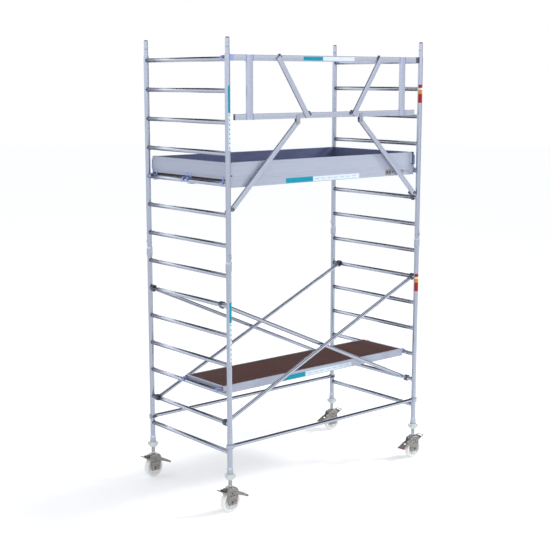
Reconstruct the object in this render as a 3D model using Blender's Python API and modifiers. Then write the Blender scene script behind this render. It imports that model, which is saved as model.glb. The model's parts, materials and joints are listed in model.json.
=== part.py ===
"""Mobile tower scaffold: four ladder frames in two storeys on braked castors with screw adjustment,
six clip-on braces, three decks, a folding front guardrail and a ring of toe boards.
X runs along the decks, Y across the frames (the guardrail is on -Y), Z is up from the floor."""

import math

import bmesh
import bpy
from mathutils import Matrix, Vector

# ---- driving dimensions, in metres ----
HALF_LENGTH = 1.250  # leg axes in X
HALF_WIDTH = 0.645  # leg axes in Y
RUNG_PITCH = 0.280
FIRST_RUNG = 0.580
RUNGS_PER_FRAME = 7
SECTION = 1.960  # height of one frame
LEG_FOOT = 0.345
LEG_R = 0.0250
BORE_R = 0.0222
BELL_R = 0.0295
BELL_H = 0.078
SPIGOT_R = 0.0208
SPIGOT_BORE = 0.0165
SPIGOT_H = 0.148
RUNG_R = 0.0215
JOINT_GAP = 0.0005
PIN_HEIGHT = 0.125  # lock pin above the shoulder of the frame below
PIN_R = 0.0040
PIN_HOLE = 0.0055
HEAD_SIDES = 8  # pins, bolts and axles

WHEEL_R = 0.100
WHEEL_HALF = 0.025
AXLE_R = 0.010
PLATE_IN = 0.0300
PLATE_OUT = 0.0350
CROWN_LOW = 0.2105
CROWN_TOP = 0.2317
BRIDGE_HALF = 0.055
KINGPIN_R = 0.0095
FLANGE_R = 0.045
SPINDLE_R = 0.0190
FLANGE_TOP = 0.2400
SPINDLE_TOP = 0.745
NUT_LOW = 0.320
NUT_TOP = 0.375
NUT_MIDDLE = 0.350
PEDAL_PIVOT = 0.188
ARM_IN = 0.0362
ARM_OUT = 0.0402

BRACE_R = 0.0190
CLAW_WIDTH = 0.042
CLAW_WALL = 0.0095
CLAW_PLAY = 0.0013  # radial room round the tube
OUTER_PLANE = 0.590  # diagonal planes inside the legs
INNER_PLANE = 0.540
UPPER_BRACE_RUNG = 5  # rungs counted from the lowest, 0
LOWER_BRACE_RUNG = 1
GIRT_HEIGHT = 0.640

DECK_HALF = 0.300
DECK_END = 1.215
DECK_DEPTH = 0.075
DECK_LIFT = 0.040  # deck top above the rung axis
DECK_HOOK_Y = 0.272  # from the deck's middle
HEADER_IN = 1.190  # inner face of the members across the deck ends
HEADER_DEPTH = 0.060
BOARD_THICK = 0.0122
BOARD_END = HEADER_IN - 0.0005
RIM_WIDTH = 0.020  # of the side channels beside the board, which carry the toe boards
BOARD_HALF = DECK_HALF - RIM_WIDTH - 0.0005
LOW_DECK_RUNG = 2
LOW_DECK_Y = -0.200
HIGH_DECK_RUNG = 9
HIGH_DECK_Y = 0.3085
HATCH = (0.350, 0.980, -0.245, 0.243)  # x and y edges, y from the deck's middle

TOE_TOP = 0.155
TOE_THICK = 0.018
TOE_END_X = 1.204  # inner face of the toe boards across the ends
RAIL_Y = -0.635
RAIL_H = 0.054
RAIL_T = 0.025
TOP_RAIL_Z = 4.232
TOP_CLAW_RUNG = 13
TOP_RAIL_END = 1.218
LOW_RAIL_Z = 3.704
LOW_RAIL_END = 1.169
POST_X = 0.992
POST_WIDTH = 0.070
STRUT_WIDTH = 0.050
STRUT_TOP_X = 0.665
STRUT_LOW_X = 0.298
RAIL_CLAW_Y = -0.5915
STAY_PIVOT = (0.412, 3.643)
STAY_WIDTH = 0.048
STAY_FOOT_RUNG = 8

LEG_SIDES = 12
RUNG_SIDES = 8
WHEEL_SIDES = 20
WELD = 0.00001  # merge distance


# ---- scene, materials and object helpers ----
def clear_scene():
    for obj in list(bpy.data.objects):
        bpy.data.objects.remove(obj)
    for coll in list(bpy.data.collections):
        bpy.data.collections.remove(coll)


def new_collection(name):
    coll = bpy.data.collections.new(name)
    bpy.context.scene.collection.children.link(coll)
    return coll


def material(name, colour, metallic, roughness):
    mat = bpy.data.materials.new(name)
    mat.use_nodes = True
    shader = mat.node_tree.nodes["Principled BSDF"]
    shader.inputs["Base Color"].default_value = (*colour, 1.0)
    shader.inputs["Metallic"].default_value = metallic
    shader.inputs["Roughness"].default_value = roughness
    mat.diffuse_color = (*colour, 1.0)
    return mat


def joined(name, shapes):
    """One mesh from closed shapes that are each a mesh in world space, with the faces turned outwards."""
    bm = bmesh.new()
    for shape in shapes:
        bm.from_mesh(shape)
        bpy.data.meshes.remove(shape)
    bmesh.ops.remove_doubles(bm, verts=bm.verts, dist=WELD)
    bmesh.ops.recalc_face_normals(bm, faces=bm.faces)
    mesh = bpy.data.meshes.new(name)
    bm.to_mesh(mesh)
    bm.free()
    return mesh


def evaluated(obj):
    bpy.context.view_layer.update()
    graph = bpy.context.evaluated_depsgraph_get()
    return bpy.data.meshes.new_from_object(obj.evaluated_get(graph))


def combine(obj, shapes, operation):
    """Applies one Boolean of the object with a set of shapes that don't meet each other."""
    tool = bpy.data.objects.new(obj.name + "_tool", joined("tool", shapes))
    HELPERS.objects.link(tool)
    mod = obj.modifiers.new("Combine", "BOOLEAN")
    mod.operation, mod.solver, mod.object = operation, "EXACT", tool
    made = evaluated(obj)
    obj.modifiers.clear()
    obj.data = made
    bpy.data.objects.remove(tool)


def solid(name, shapes, mat, add=(), cut=(), origin=(0, 0, 0)):
    """A named object: the base shapes, joined with each set in add, less each set in cut."""
    obj = bpy.data.objects.new(name, joined(name, shapes))
    PARTS.objects.link(obj)
    for group in add:
        combine(obj, group, "UNION")
    for group in cut:
        combine(obj, group, "DIFFERENCE")
    obj.data.name = name
    obj.data.materials.clear()
    obj.data.materials.append(mat)
    obj.data.transform(Matrix.Translation(-Vector(origin)))
    obj.data.shade_smooth()
    obj.data.set_sharp_from_angle(angle=math.radians(38))
    obj.location = origin
    return obj


# ---- shapes, each a mesh in world space ----
def frame_of(origin, u, v):
    """The matrix that takes X to u, Y to v and Z to their cross product, at the origin."""
    u, v = Vector(u).normalized(), Vector(v).normalized()
    rotation = Matrix((u, v, u.cross(v))).transposed()
    return Matrix.Translation(origin) @ rotation.to_4x4()


def across(axis):
    """Two directions square to an axis, which give it as their cross product."""
    w = Vector(axis).normalized()
    side = Vector((0, 0, 1)) if abs(w.z) < 0.9 else Vector((1, 0, 0))
    u = side.cross(w).normalized()
    return u, w.cross(u)


def baked(helper, place):
    """The mesh of a curve or of an object with modifiers, with its caps welded. The helper is removed."""
    HELPERS.objects.link(helper)
    mesh = evaluated(helper)
    bpy.data.objects.remove(helper)
    mesh = joined("shape", [mesh])
    mesh.transform(place)
    return mesh


def from_bmesh(bm):
    mesh = bpy.data.meshes.new("shape")
    bm.to_mesh(mesh)
    bm.free()
    return mesh


def box(x0, x1, y0, y1, z0, z1):
    bm = bmesh.new()
    middle = Matrix.Translation(((x0 + x1) / 2, (y0 + y1) / 2, (z0 + z1) / 2))
    bmesh.ops.create_cube(bm, size=1, matrix=middle @ Matrix.Diagonal((x1 - x0, y1 - y0, z1 - z0, 1)))
    return from_bmesh(bm)


def rod(start, end, radius, sides):
    start, end = Vector(start), Vector(end)
    place = frame_of((start + end) / 2, *across(end - start)) @ Matrix.Rotation(math.pi / sides, 4, "Z")
    bm = bmesh.new()
    bmesh.ops.create_cone(bm, cap_ends=True, segments=sides, radius1=radius, radius2=radius,
                          depth=(end - start).length, matrix=place)
    return from_bmesh(bm)


def lathe(profile, sides, origin=(0, 0, 0), axis=(0, 0, 1), turn=0.0):
    """Turns (radius, height) points round an axis. A profile that starts and ends at radius 0 is solid."""
    count = len(profile)
    edges = [(i, i + 1) for i in range(count - 1)]
    if profile[0][0] != 0:
        edges.append((count - 1, 0))
    mesh = bpy.data.meshes.new("profile")
    mesh.from_pydata([(radius, 0, height) for radius, height in profile], edges, [])
    helper = bpy.data.objects.new("profile", mesh)
    screw = helper.modifiers.new("Screw", "SCREW")
    screw.steps = screw.render_steps = sides
    screw.use_merge_vertices, screw.merge_threshold = True, WELD
    return baked(helper, frame_of(origin, *across(axis)) @ Matrix.Rotation(turn, 4, "Z"))


def extrusion(outline, origin, u, v, low, high):
    """An outline in the (u, v) plane, extruded from low to high along u x v."""
    curve = bpy.data.curves.new("outline", "CURVE")
    curve.dimensions, curve.fill_mode, curve.extrude = "2D", "BOTH", (high - low) / 2
    spline = curve.splines.new("POLY")
    spline.points.add(len(outline) - 1)
    for point, (a, b) in zip(spline.points, outline):
        point.co = (a, b, 0, 1)
    spline.use_cyclic_u = True
    place = frame_of(origin, u, v) @ Matrix.Translation((0, 0, (low + high) / 2))
    return baked(bpy.data.objects.new("outline", curve), place)


def wire_ring(centre, axis, radius, thickness, points):
    curve = bpy.data.curves.new("ring", "CURVE")
    curve.dimensions, curve.bevel_depth, curve.bevel_resolution = "3D", thickness, 0
    spline = curve.splines.new("POLY")
    spline.points.add(points - 1)
    for i, point in enumerate(spline.points):
        angle = 2 * math.pi * i / points
        point.co = (radius * math.cos(angle), radius * math.sin(angle), 0, 1)
    spline.use_cyclic_u = True
    return baked(bpy.data.objects.new("ring", curve), frame_of(centre, *across(axis)))


def polar(angle, radius):
    return radius * math.cos(math.radians(angle)), radius * math.sin(math.radians(angle))


def arc_outline(inner, outer, start, end, steps):
    """The outline of a part ring between two angles in degrees."""
    angles = [start + (end - start) * i / steps for i in range(steps + 1)]
    return [polar(a, outer) for a in angles] + [polar(a, inner) for a in reversed(angles)]


# ---- frames ----
def rung_z(number):
    """Axis height of a rung, counted from 0 at the lowest of the tower."""
    return FIRST_RUNG + RUNG_PITCH * number


def leg_outside(x, y, foot, shoulder):
    profile = [
        (0, foot), (BELL_R, foot), (BELL_R, foot + BELL_H), (LEG_R, foot + BELL_H + 0.014), (LEG_R, shoulder),
        (SPIGOT_R, shoulder), (SPIGOT_R, shoulder + SPIGOT_H), (0, shoulder + SPIGOT_H),
    ]
    return lathe(profile, LEG_SIDES, (x, y, 0))


def leg_bore(x, y, foot, shoulder):
    profile = [
        (0, foot - 0.01), (BORE_R, foot - 0.01), (BORE_R, shoulder - 0.030),
        (SPIGOT_BORE, shoulder - 0.024), (SPIGOT_BORE, shoulder + SPIGOT_H + 0.01),
        (0, shoulder + SPIGOT_H + 0.01),
    ]
    return lathe(profile, LEG_SIDES, (x, y, 0))


def ladder_frame(name, x, storey):
    foot = LEG_FOOT + SECTION * storey + JOINT_GAP * storey
    shoulder = LEG_FOOT + SECTION * (storey + 1)
    sides = (-HALF_WIDTH, HALF_WIDTH)
    legs = [leg_outside(x, y, foot, shoulder) for y in sides]
    rungs = []
    for i in range(RUNGS_PER_FRAME):
        z = rung_z(i + storey * RUNGS_PER_FRAME)
        rungs.append(rod((x, -HALF_WIDTH, z), (x, HALF_WIDTH, z), RUNG_R, RUNG_SIDES))
    bores = [leg_bore(x, y, foot, shoulder) for y in sides]
    z = LEG_FOOT + SECTION + PIN_HEIGHT
    holes = [rod((x, y - 2 * LEG_R, z), (x, y + 2 * LEG_R, z), PIN_HOLE, HEAD_SIDES) for y in sides]
    return solid(name, legs, ALLOY, [rungs], [bores, holes])


def lock_pin(name, x, side):
    """A pin through the joint of two frames, with a wire ring to pull it out sideways."""
    z = LEG_FOOT + SECTION + PIN_HEIGHT
    y = side * HALF_WIDTH
    axis = (0, side, 0)
    profile = [
        (0, -0.034), (PIN_R, -0.034), (PIN_R, 0.0262), (0.009, 0.0262), (0.009, 0.038), (0, 0.038),
    ]
    ring = wire_ring((x, y + side * 0.032, z + 0.018), axis, 0.015, 0.0019, 10)
    shank = lathe(profile, HEAD_SIDES, (x, y, z), axis)
    return solid(name, [shank], STEEL, [[ring]], origin=(x, y, z))


# ---- castors ----
def spindle(name, x, y):
    under, over = CROWN_LOW - 0.0004, CROWN_TOP + 0.0004
    profile = [
        (0, 0.2045), (0.0140, 0.2045), (0.0140, under), (KINGPIN_R, under), (KINGPIN_R, over),
        (FLANGE_R, over), (FLANGE_R, FLANGE_TOP), (SPINDLE_R, FLANGE_TOP), (SPINDLE_R, SPINDLE_TOP),
        (0, SPINDLE_TOP),
    ]
    return solid(name, [lathe(profile, LEG_SIDES, (x, y, 0))], ZINC, origin=(x, y, FLANGE_TOP))


def wing_nut(name, x, y, turn):
    """A collar that carries the leg on its inner shoulder, with two ears to turn it."""
    shoulder = LEG_FOOT - 0.0004
    profile = [
        (SPINDLE_R + 0.0008, NUT_LOW), (0.0345, NUT_LOW), (0.0370, NUT_LOW + 0.004),
        (0.0370, NUT_TOP), (BELL_R + 0.0013, NUT_TOP), (BELL_R + 0.0013, shoulder),
        (SPINDLE_R + 0.0008, shoulder),
    ]
    ear = [(0.034, -0.021), (0.048, -0.016), (0.054, -0.004), (0.053, 0.018), (0.046, 0.021), (0.034, 0.004)]
    ears = []
    for angle in (turn, turn + 180):
        u = Vector((*polar(angle, 1), 0))
        ears.append(extrusion(ear, (x, y, NUT_MIDDLE), u, (0, 0, 1), -0.006, 0.006))
    collar = lathe(profile, LEG_SIDES, (x, y, 0))
    return solid(name, [collar], CASTING, [ears], origin=(x, y, NUT_MIDDLE))


def castor_fork(name, x, y, inward):
    """Two plates beside the wheel, longer towards the foot plate, under a flat bridge on the kingpin."""
    plate = [
        (-0.058, CROWN_TOP - 0.001), (-0.061, 0.190), (-0.044, 0.078), (-0.036, 0.070), (0.046, 0.070),
        (0.054, 0.078), (0.074, 0.172), (0.074, 0.200), (0.058, CROWN_TOP - 0.001),
    ]
    u, v = (inward, 0, 0), (0, 0, 1)
    plates = [
        extrusion(plate, (x, y, 0), u, v, -PLATE_OUT, -PLATE_IN),
        extrusion(plate, (x, y, 0), u, v, PLATE_IN, PLATE_OUT),
    ]
    reach = PLATE_IN + 0.002
    bridge = box(x - BRIDGE_HALF, x + BRIDGE_HALF, y - reach, y + reach, CROWN_LOW, CROWN_TOP)
    bore = rod((x, y, CROWN_LOW - 0.01), (x, y, CROWN_TOP + 0.01), KINGPIN_R + 0.0010, LEG_SIDES)
    axle = [
        (0, -0.041), (0.014, -0.041), (0.014, -PLATE_OUT + 0.001), (AXLE_R, -PLATE_OUT + 0.001),
        (AXLE_R, PLATE_OUT - 0.001), (0.014, PLATE_OUT - 0.001), (0.014, 0.041), (0, 0.041),
    ]
    studs = []
    for s in (-1, 1):
        ends = [(x, y + s * reach, PEDAL_PIVOT) for reach in (PLATE_IN + 0.003, ARM_OUT + 0.0028)]
        studs.append(rod(*ends, 0.006, HEAD_SIDES))
    hub = lathe(axle, HEAD_SIDES, (x, y, WHEEL_R), (0, 1, 0))
    return solid(name, [bridge], ZINC, [plates, [hub], studs], [[bore]], origin=(x, y, CROWN_LOW))


def castor_wheel(name, x, y):
    """The flats of the tread lie at the wheel's radius, and one of them rests on the floor."""
    flats = 1 / math.cos(math.pi / WHEEL_SIDES)
    half = [
        (0.0114, 0.0285), (0.0290, 0.0285), (0.0350, 0.0140), (0.0740, 0.0140),
        (0.0790, WHEEL_HALF), (0.0960 * flats, WHEEL_HALF), (WHEEL_R * flats, 0.0200),
    ]
    profile = half + [(r, -h) for r, h in reversed(half)]
    turned = lathe(profile, WHEEL_SIDES, (x, y, WHEEL_R), (0, 1, 0), math.pi / WHEEL_SIDES)
    return solid(name, [turned], NYLON, origin=(x, y, WHEEL_R))


def brake_rocker(name, x, y, inward):
    """Two arms outside the fork, with a foot plate and a shoe bar inwards and a release bar outwards."""
    arm = [
        (-0.128, 0.0440), (-0.131, 0.0370), (-0.062, 0.0030), (-0.014, -0.0120), (0.020, -0.0160),
        (0.110, -0.0430), (0.186, -0.0730), (0.190, -0.0560), (0.120, -0.0210), (0.030, 0.0120),
        (-0.012, 0.0120), (-0.060, 0.0160),
    ]
    plate = [(0.124, -0.0340), (0.124, -0.0280), (0.190, -0.0560), (0.189, -0.0620)]
    u, v = (inward, 0, 0), (0, 0, 1)
    base = (x, y, PEDAL_PIVOT)
    arms = [extrusion(arm, base, u, v, low, low + ARM_OUT - ARM_IN) for low in (-ARM_OUT, ARM_IN)]
    foot = extrusion(plate, base, u, v, -ARM_OUT + 0.001, ARM_OUT - 0.001)
    bars = []
    for a, b, radius in ((0.095, -0.020, 0.008), (-0.124, 0.0390, 0.0035)):
        px, pz = x + inward * a, PEDAL_PIVOT + b
        bars.append(rod((px, y - ARM_OUT + 0.001, pz), (px, y + ARM_OUT - 0.001, pz), radius, HEAD_SIDES))
    hole = rod((x, y - FLANGE_R, PEDAL_PIVOT), (x, y + FLANGE_R, PEDAL_PIVOT), 0.0070, HEAD_SIDES)
    return solid(name, arms, ZINC, [[foot], bars], [[hole]], origin=base)


# ---- braces ----
def claw_shells(centre, along, hook, inner):
    """A part ring round a tube, open on the side away from hook, and the neck that joins it to the brace."""
    u, v = Vector(along), Vector(hook)
    outline = arc_outline(inner, inner + CLAW_WALL, -28, 205, 8)
    ring = extrusion(outline, centre, u, v, -CLAW_WIDTH / 2, CLAW_WIDTH / 2)
    near = inner + 0.004
    neck = [
        (near, -0.012), (near + 0.020, -0.017), (0.095, -0.017), (0.095, 0.017),
        (near + 0.020, 0.017), (near, 0.014),
    ]
    return ring, extrusion(neck, centre, u, v, -0.0175, 0.0175)


def catch(name, centre, along, hook, inner):
    """A sprung finger that closes the mouth of a claw. Its origin is its pivot."""
    u, v = Vector(along), Vector(hook)
    outer_side = ((-38, 0.0125), (-52, 0.0165), (-68, 0.0135), (-95, 0.0095), (-128, 0.0080))
    inner_side = ((-128, 0.0020), (-95, 0.0025), (-66, 0.0028), (-38, 0.0025))
    outline = [polar(angle, inner + out) for angle, out in outer_side + inner_side]
    pivot_a, pivot_b = polar(-50, inner + CLAW_WALL)
    pivot = Vector(centre) + u * pivot_a + v * pivot_b
    return solid(name, [extrusion(outline, centre, u, v, -0.012, 0.012)], DARK, origin=pivot)


def brace(name, start, end, hook_sign, inner):
    """A tube with a claw at each end. hook_sign picks which side the claws reach over."""
    a, b = Vector(start), Vector(end)
    along = (b - a).normalized()
    side = Vector(hook_sign)
    hook = (side - along * side.dot(along)).normalized()
    rings, necks = [], []
    for centre, direction in ((a, along), (b, -along)):
        ring, neck = claw_shells(centre, direction, hook, inner)
        rings.append(ring)
        necks.append(neck)
    tube = rod(a + along * 0.070, b - along * 0.070, BRACE_R, RUNG_SIDES)
    solid(name, [tube], ALLOY, [necks, rings], origin=tuple((a + b) / 2))
    catch(name + "_catch_a", a, along, hook, inner)
    catch(name + "_catch_b", b, -along, hook, inner)


# ---- decks ----
def deck_frame(name, yc, top, ribs):
    """Two channels along the deck, a member across each end, ribs between, and four claws on the rungs."""
    web, lip = DECK_HALF - RIM_WIDTH, DECK_HALF - RIM_WIDTH - 0.030
    rail = [
        (DECK_HALF, 0), (DECK_HALF, -DECK_DEPTH), (DECK_HALF - 0.035, -DECK_DEPTH),
        (DECK_HALF - 0.035, 0.0045 - DECK_DEPTH), (DECK_HALF - 0.005, 0.0045 - DECK_DEPTH),
        (DECK_HALF - 0.005, -BOARD_THICK - 0.0048), (lip, -BOARD_THICK - 0.0048),
        (lip, -BOARD_THICK - 0.0005), (web, -BOARD_THICK - 0.0005), (web, 0),
    ]
    rails = [extrusion(rail, (0, yc, top), (0, s, 0), (0, 0, 1), -DECK_END, DECK_END) for s in (-1, 1)]
    sides = (yc - DECK_HALF + 0.0025, yc + DECK_HALF - 0.0025)
    low = top - HEADER_DEPTH
    members = [
        box(-DECK_END, -HEADER_IN, *sides, low, top - 0.0002),
        box(HEADER_IN, DECK_END, *sides, low, top - 0.0002),
    ]
    members += [box(x - 0.015, x + 0.015, *sides, low, top - BOARD_THICK - 0.0007) for x in ribs]
    claw = arc_outline(RUNG_R + 0.0012, RUNG_R + 0.0110, -20, 190, 7)
    neck = [(0.0245, -0.0100), (0.0400, -0.0180), (0.0500, -0.0180), (0.0500, 0.0250), (0.0245, 0.0150)]
    hooks, necks = [], []
    for s in (-1, 1):
        for y in (yc - DECK_HOOK_Y, yc + DECK_HOOK_Y):
            place = (s * HALF_LENGTH, y, top - DECK_LIFT), (-s, 0, 0), (0, 0, 1)
            hooks.append(extrusion(claw, *place, -0.018, 0.018))
            necks.append(extrusion(neck, *place, -0.017, 0.017))
    return solid(name, rails, ALLOY, [members, necks, hooks])


def deck_board(name, yc, top, opening=None):
    board = box(-BOARD_END, BOARD_END, yc - BOARD_HALF, yc + BOARD_HALF, top - BOARD_THICK, top)
    cuts = []
    if opening:
        x0, x1, y0, y1 = opening
        gap = 0.003
        cuts = [[box(x0 - gap, x1 + gap, yc + y0 - gap, yc + y1 + gap, top - DECK_DEPTH, top + DECK_DEPTH)]]
    return solid(name, [board], PLYWOOD, cut=cuts)


def hatch(name, yc, top):
    """The trapdoor lifts about its rear edge, along X."""
    x0, x1, y0, y1 = HATCH
    panel = box(x0, x1, yc + y0, yc + y1, top - BOARD_THICK, top)
    stiffeners = []
    for y in (y0 + 0.045, y1 - 0.053):
        edges = (yc + y - 0.015, yc + y + 0.015)
        stiffeners.append(box(x0 + 0.02, x1 - 0.02, *edges, top - 0.035, top - BOARD_THICK + 0.002))
    return solid(name, [panel], PLYWOOD, [stiffeners], origin=((x0 + x1) / 2, yc + y1, top))


def toe_boards(top):
    """Boards on edge round the pair of upper decks, standing on the deck rims."""
    low, high = top + 0.0004, top + TOE_TOP
    outside = HIGH_DECK_Y + DECK_HALF
    for name, s in (("toe_board_front", -1), ("toe_board_rear", 1)):
        edges = sorted((s * (outside - TOE_THICK), s * outside))
        solid(name, [box(0.0005 - TOE_END_X, TOE_END_X - 0.0005, *edges, low, high)], ALLOY)
    for name, s in (("toe_board_left", -1), ("toe_board_right", 1)):
        edges = sorted((s * TOE_END_X, s * (TOE_END_X + TOE_THICK)))
        solid(name, [box(*edges, -outside, outside, low, high)], ALLOY)


# ---- guardrail ----
def bar(start, end, width, y0, y1, cap=0.0):
    """A flat bar in the XZ plane between two (x, z) points."""
    a, b = Vector(start), Vector(end)
    along = (b - a).normalized()
    side = Vector((-along.y, along.x)) * (width / 2)
    a, b = a - along * cap, b + along * cap
    outline = [tuple(a + side), tuple(a - side), tuple(b - side), tuple(b + side)]
    return extrusion(outline, (0, 0, 0), (1, 0, 0), (0, 0, 1), -y1, -y0)


def guardrail():
    y0, y1 = RAIL_Y - RAIL_T / 2, RAIL_Y + RAIL_T / 2
    half = RAIL_H / 2
    rails = [
        box(-TOP_RAIL_END, TOP_RAIL_END, y0, y1, TOP_RAIL_Z - half, TOP_RAIL_Z + half),
        box(-LOW_RAIL_END, LOW_RAIL_END, y0, y1, LOW_RAIL_Z - half, LOW_RAIL_Z + half),
    ]
    posts, struts, bolts, blocks, rings = [], [], [], [], []
    cheeks, linings, seats = [], [], []
    px, pz = STAY_PIVOT
    ring = arc_outline(RUNG_R + 0.0012, RUNG_R + 0.0115, -25, 190, 7)
    for s in (-1, 1):
        post_x = s * POST_X
        posts.append(bar((post_x, LOW_RAIL_Z), (post_x, TOP_RAIL_Z), POST_WIDTH, y0 + 0.0005, y1 - 0.0005))
        top, low = (s * STRUT_TOP_X, TOP_RAIL_Z + 0.006), (s * STRUT_LOW_X, LOW_RAIL_Z - 0.006)
        struts.append(bar(top, low, STRUT_WIDTH, y0 - 0.0165, y0 + 0.0080))
        # a saddle under the lower rail carries the bolt that the stay turns on
        left, right, lowest = s * px - 0.022, s * px + 0.022, pz - 0.022
        under = LOW_RAIL_Z - half
        cheeks.append(box(left, right, y0 - 0.0050, y0 - 0.0006, lowest, LOW_RAIL_Z + 0.015))
        linings.append(box(left, right, y1 + 0.0006, y1 + 0.0050, lowest, LOW_RAIL_Z + 0.015))
        seats.append(box(left, right, y0 - 0.0050, y1 + 0.0050, under - 0.0035, under + 0.0050))
        bolts.append(rod((s * px, y0 - 0.009, pz), (s * px, y1 + 0.009, pz), 0.0055, HEAD_SIDES))
        inner, outer = sorted((s * 1.1800, s * 1.2215))
        blocks.append(box(inner, outer, y0 + 0.001, -0.5700, TOP_RAIL_Z - 0.022, TOP_RAIL_Z + 0.022))
        centre = (s * HALF_LENGTH, RAIL_CLAW_Y, rung_z(TOP_CLAW_RUNG))
        rings.append(extrusion(ring, centre, (-s, 0, 0), (0, 0, 1), -0.0195, 0.0195))
    groups = [posts, struts, cheeks, linings, seats, bolts, blocks, rings]
    return solid("guardrail_frame", rails, ALLOY, groups)


def guardrail_stay(name, s):
    """A folding leg of the guardrail. Its claw holds a rung from below, beside the front leg."""
    px, pz = STAY_PIVOT
    y0, y1 = RAIL_Y - RAIL_T / 2 + 0.0008, RAIL_Y + RAIL_T / 2 - 0.0008
    foot = Vector((HALF_LENGTH, rung_z(STAY_FOOT_RUNG)))
    top = Vector((px, pz))
    along = (foot - top).normalized()
    end = foot - along * 0.078
    tube = bar((s * top.x, top.y), (s * end.x, end.y), STAY_WIDTH, y0, y1, 0.012)
    centre = (s * foot.x, RAIL_CLAW_Y, foot.y)
    u = (-s * along.x, 0, -along.y)
    v = (-s * along.y, 0, along.x)
    outline = arc_outline(RUNG_R + 0.0012, RUNG_R + 0.0115, -105, 15, 6)
    ring = extrusion(outline, centre, u, v, -0.0195, 0.0195)
    blocks = []
    for near, far, width, outside, inside in (
        (0.090, 0.060, 0.034, y0 + 0.001, -0.5730), (0.070, 0.030, 0.030, -0.6105, -0.5745),
    ):
        start, stop = foot - along * near, foot - along * far
        blocks.append([bar((s * start.x, start.y), (s * stop.x, stop.y), width, outside, inside)])
    hole = rod((s * px, y0 - RAIL_T, pz), (s * px, y1 + RAIL_T, pz), 0.0068, HEAD_SIDES)
    return solid(name, [tube], ALLOY, [*blocks, [ring]], [[hole]], origin=(s * px, RAIL_Y, pz))


# ---- assembly ----
def build_frames():
    for side, s in (("left", -1), ("right", 1)):
        for level, storey in (("lower", 0), ("upper", 1)):
            ladder_frame(f"{level}_frame_{side}", s * HALF_LENGTH, storey)
    for corner, x, y in CORNERS:
        lock_pin(f"lock_pin_{corner}", x * HALF_LENGTH, y)


def build_castors():
    for corner, sx, sy in CORNERS:
        x, y = sx * HALF_LENGTH, sy * HALF_WIDTH
        spindle(f"spindle_{corner}", x, y)
        wing_nut(f"adjusting_nut_{corner}", x, y, -40)
        castor_fork(f"castor_fork_{corner}", x, y, -sx)
        castor_wheel(f"castor_wheel_{corner}", x, y)
        brake_rocker(f"brake_rocker_{corner}", x, y, -sx)


def build_braces():
    high, low = rung_z(UPPER_BRACE_RUNG), rung_z(LOWER_BRACE_RUNG)
    inner = RUNG_R + CLAW_PLAY
    for name, y, down in (
        ("brace_front_inner", -INNER_PLANE, 1), ("brace_front_outer", -OUTER_PLANE, -1),
        ("brace_rear_outer", OUTER_PLANE, 1), ("brace_rear_inner", INNER_PLANE, -1),
    ):
        start, end = (-down * HALF_LENGTH, y, high), (down * HALF_LENGTH, y, low)
        brace(name, start, end, (0, 0, 1), inner)
    for name, s in (("brace_front_level", -1), ("brace_rear_level", 1)):
        ends = [(x, s * HALF_WIDTH, GIRT_HEIGHT) for x in (-HALF_LENGTH, HALF_LENGTH)]
        brace(name, *ends, (0, s, 0), LEG_R + CLAW_PLAY)


def build_decks():
    ribs = [i / 3 for i in range(-3, 4)]
    low, high = rung_z(LOW_DECK_RUNG) + DECK_LIFT, rung_z(HIGH_DECK_RUNG) + DECK_LIFT
    deck_frame("lower_deck_frame", LOW_DECK_Y, low, ribs)
    deck_board("lower_deck_board", LOW_DECK_Y, low)
    deck_frame("front_deck_frame", -HIGH_DECK_Y, high, ribs)
    deck_board("front_deck_board", -HIGH_DECK_Y, high)
    deck_frame("hatch_deck_frame", HIGH_DECK_Y, high, [-1, -2 / 3, -1 / 3, 0, 0.328, 1.002])
    deck_board("hatch_deck_board", HIGH_DECK_Y, high, HATCH)
    hatch("hatch", HIGH_DECK_Y, high)
    toe_boards(high)


clear_scene()
PARTS = new_collection("mobile_tower_scaffold")
HELPERS = new_collection("helpers")
ALLOY = material("aluminium", (0.62, 0.66, 0.72), 0.9, 0.35)
STEEL = material("zinc_plated_steel", (0.55, 0.56, 0.58), 0.9, 0.30)
ZINC = material("galvanised_steel", (0.42, 0.42, 0.40), 0.8, 0.45)
CASTING = material("cast_alloy", (0.58, 0.64, 0.61), 0.6, 0.50)
NYLON = material("white_nylon", (0.80, 0.81, 0.78), 0.0, 0.45)
DARK = material("dark_grey_casting", (0.06, 0.07, 0.09), 0.3, 0.50)
PLYWOOD = material("phenolic_plywood", (0.11, 0.045, 0.033), 0.0, 0.55)
CORNERS = (
    ("front_left", -1, -1), ("front_right", 1, -1), ("rear_left", -1, 1), ("rear_right", 1, 1),
)
build_frames()
build_castors()
build_braces()
build_decks()
guardrail()
guardrail_stay("guardrail_stay_left", -1)
guardrail_stay("guardrail_stay_right", 1)
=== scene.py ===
import json
import math

import bmesh
import bpy
from mathutils import Matrix, Vector


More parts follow.
